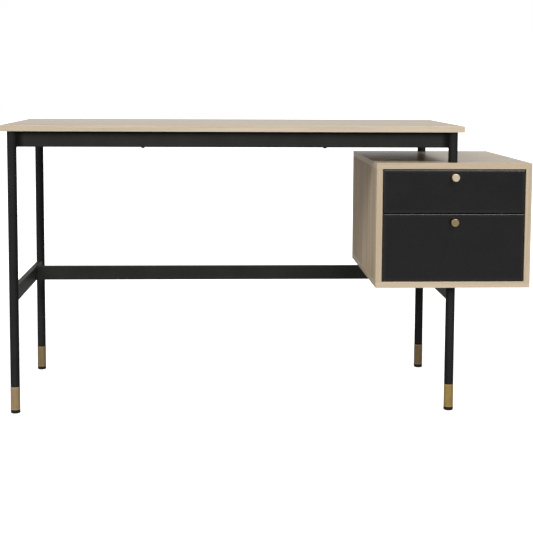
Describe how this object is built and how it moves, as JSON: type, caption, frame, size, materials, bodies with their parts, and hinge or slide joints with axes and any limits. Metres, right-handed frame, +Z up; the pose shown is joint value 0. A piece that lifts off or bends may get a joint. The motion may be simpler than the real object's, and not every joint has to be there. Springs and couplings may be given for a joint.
{
  "type": "writing desk with drawers",
  "caption": "Writing desk: oak-look top on a black tube frame with brass ferrules, and an offset cabinet at one end with sliding drawers and round knobs.",
  "frame": {"origin": "on the floor, under the middle of the whole desk with its knobs", "axes": "+X to the right as a sitter faces the desk, along its length; -Y towards the sitter, the way the drawers open; +Z up"},
  "size_m": [1.365, 0.539, 0.75],
  "materials": {
    "oak_laminate": "matt oak-look laminate with a fine printed grain",
    "oak_edging": "matt oak-look edging strip",
    "frame_black": "black powder coat, satin",
    "ferrule_brass": "satin brass plating",
    "knob_brass": "pale satin brass",
    "foot_plastic": "black moulded plastic",
    "front_lacquer": "black satin lacquer on board",
    "box_laminate": "matt oak-look laminate",
    "slide_zinc": "bright zinc plating",
    "fastener_zinc": "zinc plating",
    "fastener_black": "black oxide",
    "dowel_beech": "plain beech"
  },
  "bodies": {
    "desk": {"desktop_panel": "oak_laminate", "desktop_edging": "oak_edging", "front_rail": "frame_black", "rear_rail": "frame_black", "left_top_rail": "frame_black", "right_top_rail": "frame_black", "left_front_leg": "frame_black", "left_rear_leg": "frame_black", "right_front_upper_leg": "frame_black", "right_rear_upper_leg": "frame_black", "right_front_lower_leg": "frame_black", "right_rear_lower_leg": "frame_black", "left_side_stretcher": "frame_black", "right_side_stretcher": "frame_black", "long_stretcher": "frame_black", "left_front_ferrule": "ferrule_brass", "left_rear_ferrule": "ferrule_brass", "right_front_ferrule": "ferrule_brass", "right_rear_ferrule": "ferrule_brass", "left_front_foot": "foot_plastic", "left_rear_foot": "foot_plastic", "right_front_foot": "foot_plastic", "right_rear_foot": "foot_plastic", "frame_bolts": "fastener_black", "threaded_inserts": "fastener_zinc", "upper_leg_plugs": "fastener_zinc", "upper_leg_bolts": "fastener_zinc", "cabinet_top": "oak_laminate", "cabinet_bottom": "oak_laminate", "cabinet_left_side": "oak_laminate", "cabinet_right_side": "oak_laminate", "cabinet_back": "oak_laminate", "cabinet_edging": "oak_edging", "cabinet_dowels": "dowel_beech", "cabinet_cam_fittings": "fastener_zinc", "slide_outer_members": "slide_zinc", "slide_screws": "fastener_zinc"},
    "upper_drawer": {"upper_drawer_front": "front_lacquer", "upper_drawer_left_side": "box_laminate", "upper_drawer_right_side": "box_laminate", "upper_drawer_back": "box_laminate", "upper_drawer_bottom": "box_laminate", "upper_drawer_knob": "knob_brass", "upper_drawer_fasteners": "fastener_zinc", "upper_slide_inner_members": "slide_zinc"},
    "upper_slide_middle": {"upper_slide_middle_members": "slide_zinc"},
    "upper_slide_outer_cages": {"upper_slide_outer_cages": "slide_zinc"},
    "upper_slide_inner_cages": {"upper_slide_inner_cages": "slide_zinc"},
    "lower_drawer": {"lower_drawer_front": "front_lacquer", "lower_drawer_left_side": "box_laminate", "lower_drawer_right_side": "box_laminate", "lower_drawer_back": "box_laminate", "lower_drawer_bottom": "box_laminate", "lower_drawer_knob": "knob_brass", "lower_drawer_fasteners": "fastener_zinc", "lower_slide_inner_members": "slide_zinc"},
    "lower_slide_middle": {"lower_slide_middle_members": "slide_zinc"},
    "lower_slide_outer_cages": {"lower_slide_outer_cages": "slide_zinc"},
    "lower_slide_inner_cages": {"lower_slide_inner_cages": "slide_zinc"}
  },
  "joints": [
    {"name": "upper_drawer_slide", "type": "slide", "parent": "desk", "child": "upper_drawer", "axis": [0, -1, 0], "range_m": [0, 0.45]},
    {"name": "upper_slide_middle_travel", "type": "slide", "parent": "desk", "child": "upper_slide_middle", "axis": [0, -1, 0], "range_m": [0, 0.225]},
    {"name": "upper_slide_outer_cages_travel", "type": "slide", "parent": "desk", "child": "upper_slide_outer_cages", "axis": [0, -1, 0], "range_m": [0, 0.1125]},
    {"name": "upper_slide_inner_cages_travel", "type": "slide", "parent": "desk", "child": "upper_slide_inner_cages", "axis": [0, -1, 0], "range_m": [0, 0.3375]},
    {"name": "lower_drawer_slide", "type": "slide", "parent": "desk", "child": "lower_drawer", "axis": [0, -1, 0], "range_m": [0, 0.45]},
    {"name": "lower_slide_middle_travel", "type": "slide", "parent": "desk", "child": "lower_slide_middle", "axis": [0, -1, 0], "range_m": [0, 0.225]},
    {"name": "lower_slide_outer_cages_travel", "type": "slide", "parent": "desk", "child": "lower_slide_outer_cages", "axis": [0, -1, 0], "range_m": [0, 0.1125]},
    {"name": "lower_slide_inner_cages_travel", "type": "slide", "parent": "desk", "child": "lower_slide_inner_cages", "axis": [0, -1, 0], "range_m": [0, 0.3375]}
  ],
  "couplings": [
    {"joint": "upper_slide_middle_travel", "follows": "upper_drawer_slide", "ratio": 0.5},
    {"joint": "upper_slide_outer_cages_travel", "follows": "upper_drawer_slide", "ratio": 0.25},
    {"joint": "upper_slide_inner_cages_travel", "follows": "upper_drawer_slide", "ratio": 0.75},
    {"joint": "lower_slide_middle_travel", "follows": "lower_drawer_slide", "ratio": 0.5},
    {"joint": "lower_slide_outer_cages_travel", "follows": "lower_drawer_slide", "ratio": 0.25},
    {"joint": "lower_slide_inner_cages_travel", "follows": "lower_drawer_slide", "ratio": 0.75}
  ]
}
